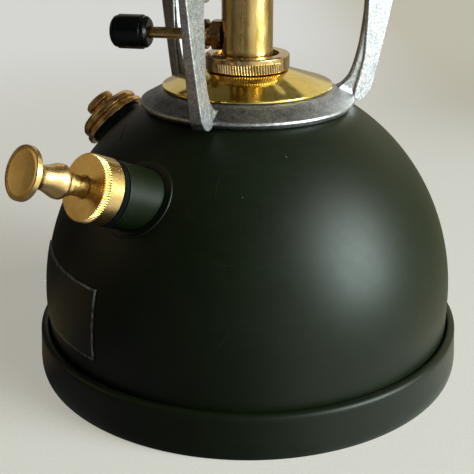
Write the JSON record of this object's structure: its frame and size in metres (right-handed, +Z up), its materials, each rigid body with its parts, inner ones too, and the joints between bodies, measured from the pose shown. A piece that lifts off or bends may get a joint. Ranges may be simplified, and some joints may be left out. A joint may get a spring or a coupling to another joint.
{
  "type": "paraffin pressure lantern",
  "caption": "Table lantern that burns pressurised paraffin in a mantle: domed tank with hand pump, cast frame, glass globe, ventilated hood and bail.",
  "frame": {"origin": "on the table under the tank's axis", "axes": "+Z up along the lantern's axis, -Y towards the picture's camera, +X to the camera's right"},
  "size_m": [0.172, 0.172, 0.3339],
  "materials": {
    "tank_paint": "very dark olive satin paint",
    "label": "black satin with a thin silver border, bare",
    "brass": "bright, lightly tarnished",
    "aged_brass": "dark bronze patina",
    "pump_brass": "mottled, aged",
    "disc_brass": "polished, finely scratched",
    "cast_aluminium": "cast, mottled, worn bright edges",
    "bright_steel": "nickel plated, satin",
    "hood_enamel": "dark olive vitreous enamel",
    "knob_plastic": "black moulded, satin gloss",
    "seal": "matte black",
    "cup_leather": "oiled",
    "nozzle_ceramic": "unglazed",
    "mantle_cloth": "woven, matte",
    "globe_glass": "clear heat-resistant glass"
  },
  "bodies": {
    "root": {"tank_dome": "tank_paint", "tank_base": "tank_paint", "label_plate": "label", "tank_neck": "brass", "neck_gasket": "seal", "disc_plate": "disc_brass", "lantern_frame": "cast_aluminium", "control_body": "brass", "gland_packing": "seal", "gland_nut": "aged_brass", "fuel_tube": "brass", "fuel_filter": "bright_steel", "pump_barrel": "tank_paint", "pump_washer": "seal", "non_return_valve": "brass", "filler_neck": "tank_paint", "vaporiser": "brass", "spirit_cup": "brass", "jet": "brass", "burner_nozzle": "nozzle_ceramic", "burner_body": "bright_steel", "mantle": "mantle_cloth", "gallery": "bright_steel", "globe": "globe_glass", "top_ring": "bright_steel", "ring_screw_1": "bright_steel", "ring_screw_2": "bright_steel", "ring_screw_3": "bright_steel", "inner_casing": "bright_steel", "hood_bracket": "bright_steel", "bail_pivot_right": "brass", "bail_pivot_left": "brass"},
    "union_nut": {"union_nut": "brass"},
    "pump_cap": {"pump_cap": "pump_brass"},
    "plunger": {"pump_rod": "pump_brass", "pump_knob": "pump_brass", "pump_cup": "cup_leather", "pump_spring": "bright_steel"},
    "control": {"control_spindle": "brass", "control_knob": "knob_plastic"},
    "needle": {"needle_rod": "bright_steel"},
    "filler_cap": {"filler_cap": "aged_brass", "filler_gasket": "seal"},
    "air_screw": {"air_release_screw": "aged_brass"},
    "hood": {"hood": "hood_enamel"},
    "hood_nut": {"hood_nut": "brass"},
    "bail": {"bail_handle": "bright_steel"}
  },
  "joints": [
    {"name": "pump_stroke", "type": "slide", "parent": "root", "child": "plunger", "axis": [-0.6649, -0.6244, 0.4099], "range_m": [0, 0.052]},
    {"name": "pump_cap_turn", "type": "hinge", "parent": "root", "child": "pump_cap", "pos_m": [-0.04127, -0.05247, 0.0834], "axis": [-0.6649, -0.6244, 0.4099], "range_deg": [0, 810]},
    {"name": "union_nut_turn", "type": "hinge", "parent": "root", "child": "union_nut", "pos_m": [0, 0, 0.119], "axis": [0, 0, 1], "range_deg": [0, 810]},
    {"name": "control_turn", "type": "hinge", "parent": "root", "child": "control", "pos_m": [0, 0, 0.129], "axis": [-0.9755, 0.2198, 0], "range_deg": [0, 180]},
    {"name": "needle_lift", "type": "slide", "parent": "root", "child": "needle", "axis": [0, 0, 1], "range_m": [0, 0.0024]},
    {"name": "filler_cap_turn", "type": "hinge", "parent": "root", "child": "filler_cap", "pos_m": [-0.05292, 0.02445, 0.08782], "axis": [-0.6647, 0.3071, 0.681], "range_deg": [0, 810]},
    {"name": "air_screw_turn", "type": "hinge", "parent": "filler_cap", "child": "air_screw", "pos_m": [-0.05292, 0.02445, 0.08782], "axis": [-0.6647, 0.3071, 0.681], "range_deg": [0, 540]},
    {"name": "hood_lift", "type": "slide", "parent": "root", "child": "hood", "axis": [0, 0, 1], "range_m": [0, 0.06]},
    {"name": "hood_nut_turn", "type": "hinge", "parent": "hood", "child": "hood_nut", "pos_m": [0, 0, 0.324], "axis": [0, 0, 1], "range_deg": [0, 810]},
    {"name": "bail_swing", "type": "hinge", "parent": "root", "child": "bail", "pos_m": [0, 0, 0.2559], "axis": [0.7782, 0.628, 0], "range_deg": [0, 296]}
  ],
  "couplings": [
    {"joint": "control_turn", "follows": "needle_lift", "rad_per_m": 1308.9}
  ]
}
